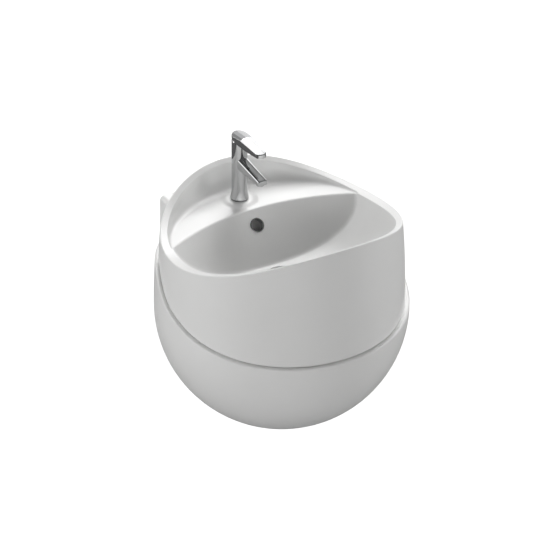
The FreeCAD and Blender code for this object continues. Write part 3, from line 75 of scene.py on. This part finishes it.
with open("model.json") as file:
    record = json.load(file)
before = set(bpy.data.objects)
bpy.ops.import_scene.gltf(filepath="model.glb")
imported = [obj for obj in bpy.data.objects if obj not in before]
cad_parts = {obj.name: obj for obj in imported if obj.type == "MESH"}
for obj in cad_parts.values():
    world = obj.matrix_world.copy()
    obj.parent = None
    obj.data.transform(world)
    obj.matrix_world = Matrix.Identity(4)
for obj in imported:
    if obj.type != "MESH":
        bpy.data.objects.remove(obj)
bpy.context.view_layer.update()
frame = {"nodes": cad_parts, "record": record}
nodes = frame["nodes"]


# ---------------------------------------------------------------- node helpers

class Graph:
    """A material's or the world's node tree, with short calls to add to it."""

    NOISE_LOW = 0.3        # nearly all of a noise lies between these two
    NOISE_HIGH = 0.7

    def __init__(self, owner):
        owner.use_nodes = True
        self.tree = owner.node_tree
        self.tree.nodes.clear()

    def add(self, kind, inputs=None, **settings):
        node = self.tree.nodes.new(kind)
        for key, value in settings.items():
            setattr(node, key, value)
        for key, value in (inputs or {}).items():
            self.set(node.inputs[key], value)
        return node

    def set(self, socket, value):
        if isinstance(value, bpy.types.NodeSocket):
            self.tree.links.new(value, socket)
        else:
            socket.default_value = value

    def math(self, operation, a, b):
        return self.add("ShaderNodeMath", {0: a, 1: b}, operation=operation).outputs[0]

    def place(self, stretch):
        """Object coordinates in metres, stretched."""
        coords = self.add("ShaderNodeTexCoord")
        return self.add("ShaderNodeMapping",
                        {"Vector": coords.outputs["Object"], "Scale": stretch}).outputs[0]

    def noise(self, scale, detail=3.0, rough=0.5, stretch=(1.0, 1.0, 1.0)):
        return self.add("ShaderNodeTexNoise", {"Vector": self.place(stretch), "Scale": scale,
                                               "Detail": detail, "Roughness": rough}).outputs["Fac"]

    def ramp(self, noise, low, high):
        """A number that follows a noise from low to high."""
        return self.add("ShaderNodeMapRange", {"Value": noise, "From Min": self.NOISE_LOW,
                                               "From Max": self.NOISE_HIGH, "To Min": low,
                                               "To Max": high}).outputs[0]

    def blend(self, noise, dark, light):
        """A colour that follows a noise from dark to light."""
        mix = self.add("ShaderNodeMix", data_type="RGBA")
        self.set(mix.inputs[0], self.ramp(noise, 0.0, 1.0))
        self.set(mix.inputs[6], (*dark, 1.0))
        self.set(mix.inputs[7], (*light, 1.0))
        return mix.outputs[2]

    def bump(self, height, strength, distance):
        return self.add("ShaderNodeBump", {"Height": height, "Strength": strength,
                                           "Distance": distance}).outputs[0]

    def surface(self, shader):
        out = self.add("ShaderNodeOutputMaterial")
        self.tree.links.new(shader, out.inputs["Surface"])

    def principled(self, **inputs):
        named = {key.replace("_", " "): value for key, value in inputs.items()}
        self.surface(self.add("ShaderNodeBsdfPrincipled", named).outputs[0])


def new_material(name):
    material = bpy.data.materials.new(name)
    return material, Graph(material)


# ---------------------------------------------------------------- materials

def glazed_ceramic():
    """White vitreous glaze: a soft gloss over a faintly uneven body."""
    material, g = new_material("ceramic_glaze")
    tint = g.blend(g.noise(5.0, detail=4.0), (0.765, 0.765, 0.757), (0.785, 0.785, 0.778))
    gloss = g.ramp(g.noise(38.0, detail=4.0), 0.30, 0.36)
    peel = g.bump(g.noise(45.0, detail=1.0), strength=0.03, distance=0.0004)
    g.principled(Base_Color=tint, Roughness=gloss, IOR=1.55, Coat_Weight=0.12,
                 Coat_Roughness=0.12, Normal=peel)
    return material


def chrome():
    """Bright plating with the slightest haze and polishing lines."""
    material, g = new_material("chrome_plate")
    haze = g.ramp(g.noise(90.0, detail=5.0), 0.035, 0.085)
    tint = g.blend(g.noise(14.0), (0.55, 0.555, 0.56), (0.59, 0.595, 0.60))
    polish = g.noise(300.0, detail=2.0, stretch=(1.0, 1.0, 6.0))
    lines = g.bump(polish, strength=0.015, distance=0.0002)
    g.principled(Base_Color=tint, Metallic=1.0, Roughness=haze, Normal=lines)
    return material


def plastic(name, dark, light, rough):
    """Moulded plastic with a fine grain."""
    material, g = new_material(name)
    tint = g.blend(g.noise(24.0), dark, light)
    sheen = g.ramp(g.noise(120.0, detail=4.0), rough - 0.05, rough + 0.07)
    skin = g.bump(g.noise(260.0, detail=3.0), strength=0.08, distance=0.0003)
    g.principled(Base_Color=tint, Roughness=sheen, IOR=1.47, Normal=skin)
    return material


def rubber():
    """Matt black rubber, slightly grey where it is dusty."""
    material, g = new_material("black_rubber")
    tint = g.blend(g.noise(60.0, detail=5.0), (0.018, 0.018, 0.018), (0.04, 0.039, 0.037))
    grain = g.bump(g.noise(900.0, detail=3.0), strength=0.25, distance=0.0003)
    g.principled(Base_Color=tint, Roughness=0.72, Normal=grain)
    return material


def metal(name, dark, light, rough, stretch):
    """Plated or machined metal with directional marks."""
    material, g = new_material(name)
    marks = g.noise(160.0, detail=6.0, rough=0.65, stretch=stretch)
    tint = g.blend(marks, dark, light)
    sheen = g.ramp(marks, rough - 0.08, rough + 0.10)
    relief = g.bump(marks, strength=0.12, distance=0.0003)
    g.principled(Base_Color=tint, Metallic=1.0, Roughness=sheen, Normal=relief)
    return material


FINISHES = {
    "ceramic": glazed_ceramic(),
    "chrome": chrome(),
    "white_plastic": plastic("white_plastic", (0.74, 0.74, 0.73), (0.79, 0.79, 0.78), 0.32),
    "grey_plastic": plastic("grey_plastic", (0.20, 0.20, 0.20), (0.26, 0.26, 0.26), 0.45),
    "clear_plastic": plastic("clear_plastic", (0.58, 0.58, 0.56), (0.64, 0.64, 0.62), 0.30),
    "rubber": rubber(),
    "steel": metal("zinc_steel", (0.46, 0.46, 0.45), (0.62, 0.62, 0.60), 0.34, (1.0, 1.0, 0.2)),
    "brass": metal("machined_brass", (0.60, 0.42, 0.18), (0.76, 0.56, 0.26), 0.30,
                   (1.0, 1.0, 5.0)),
}


def dress_nodes():
    """Gives every CAD node the finish of its material slot."""
    for part in frame["record"]["subparts"]:
        node = nodes[part["node"]]
        node.data.materials.clear()
        node.data.materials.append(FINISHES[part["material_slot"]])


# ---------------------------------------------------------------- stage, light and camera

def direction(azimuth, elevation):
    """Unit vector towards a place round the part."""
    a, e = math.radians(azimuth), math.radians(elevation)
    return Vector((math.sin(a) * math.cos(e), -math.cos(a) * math.cos(e), math.sin(e)))


def facing(towards):
    """Rotation of a camera or a lamp that stands at the far end of towards and looks back."""
    return towards.to_track_quat("Z", "Y").to_euler()


def seen_directly(g):
    """1 for rays that show the background: camera, mirror and glass rays."""
    path = g.add("ShaderNodeLightPath").outputs
    first = g.math("MAXIMUM", path["Is Camera Ray"], path["Is Glossy Ray"])
    return g.math("MAXIMUM", first, path["Is Transmission Ray"])


def make_world():
    """White where it is seen directly, and no light on the part."""
    world = bpy.data.worlds.new("studio")
    bpy.context.scene.world = world
    g = Graph(world)
    light = g.add("ShaderNodeBackground", {"Color": (1.0, 1.0, 1.0, 1.0),
                                           "Strength": seen_directly(g)})
    out = g.add("ShaderNodeOutputWorld")
    g.tree.links.new(light.outputs[0], out.inputs["Surface"])


def make_floor():
    """Pale floor. Its own glow is seen by the camera and by mirrors, and lights nothing."""
    bpy.ops.mesh.primitive_plane_add(size=FLOOR_SIZE, location=(0, 0, FLOOR_Z))
    floor = bpy.context.object
    floor.name = "floor"
    material, g = new_material("pale_floor")
    matt = g.add("ShaderNodeBsdfDiffuse",
                 {"Color": (FLOOR_ALBEDO, FLOOR_ALBEDO, FLOOR_ALBEDO, 1.0)})
    glow = g.math("MULTIPLY", seen_directly(g), FLOOR_GLOW)
    shine = g.add("ShaderNodeEmission", {"Strength": glow})
    both = g.add("ShaderNodeAddShader")
    g.tree.links.new(matt.outputs[0], both.inputs[0])
    g.tree.links.new(shine.outputs[0], both.inputs[1])
    g.surface(both.outputs[0])
    floor.data.materials.append(material)


def make_sun(name, azimuth, elevation, spread, strength):
    data = bpy.data.lights.new(name, "SUN")
    data.energy = strength
    data.angle = math.radians(spread)
    lamp = bpy.data.objects.new(name, data)
    lamp.rotation_euler = facing(direction(azimuth, elevation))
    bpy.context.scene.collection.objects.link(lamp)


def only_in_reflections(panel):
    """Makes a mesh that only shiny surfaces see: it shows in reflections and lights nothing."""
    panel.visible_camera = False
    panel.visible_diffuse = False
    panel.visible_shadow = False
    panel.visible_transmission = False


def glowing(name, grey):
    material, g = new_material(name)
    g.surface(g.add("ShaderNodeEmission", {"Strength": grey}).outputs[0])
    return material


def make_tent():
    """Grey dome round the whole studio, for reflections."""
    height = (TENT_TOP - TENT_FOOT) / 2
    bpy.ops.mesh.primitive_uv_sphere_add(radius=TENT_RADIUS, segments=TENT_SEGMENTS,
                                         ring_count=TENT_SEGMENTS // 2,
                                         location=(0, 0, TENT_FOOT + height),
                                         scale=(1, 1, height / TENT_RADIUS))
    tent = bpy.context.object
    tent.name = "tent"
    tent.data.materials.append(glowing("tent_grey", TENT_GREY))
    only_in_reflections(tent)


def sky_point(azimuth_from_behind, elevation, distance):
    return TAP_MIDDLE + distance * direction(180 - azimuth_from_behind, elevation)


def make_panel(name, posts, grey, distance):
    """Glowing strip on the dome, from post to post: a painted reflection that lights nothing."""
    points = [sky_point(*end, distance) for post in posts for end in (post[:2], post[2:])]
    faces = [(2 * i, 2 * i + 1, 2 * i + 3, 2 * i + 2) for i in range(len(posts) - 1)]
    mesh = bpy.data.meshes.new(name)
    mesh.from_pydata(points, [], faces)
    mesh.materials.append(glowing(name, grey))
    panel = bpy.data.objects.new(name, mesh)
    bpy.context.scene.collection.objects.link(panel)
    only_in_reflections(panel)


def make_camera():
    back = direction(CAMERA_AZIMUTH, CAMERA_ELEVATION)
    data = bpy.data.cameras.new("camera")
    data.type = "ORTHO"
    data.ortho_scale = VIEW_WIDTH
    camera = bpy.data.objects.new("camera", data)
    camera.location = VIEW_TARGET + back * VIEW_DISTANCE
    camera.rotation_euler = facing(back)
    bpy.context.scene.collection.objects.link(camera)
    bpy.context.scene.camera = camera


make_camera()
make_world()
make_floor()
for number, sun in enumerate(SUNS):
    make_sun("sun_%d" % number, *sun)
dress_nodes()
make_tent()
for panel_sizes in PANELS:
    make_panel(*panel_sizes)

scene = bpy.context.scene
scene.view_settings.view_transform = "Standard"
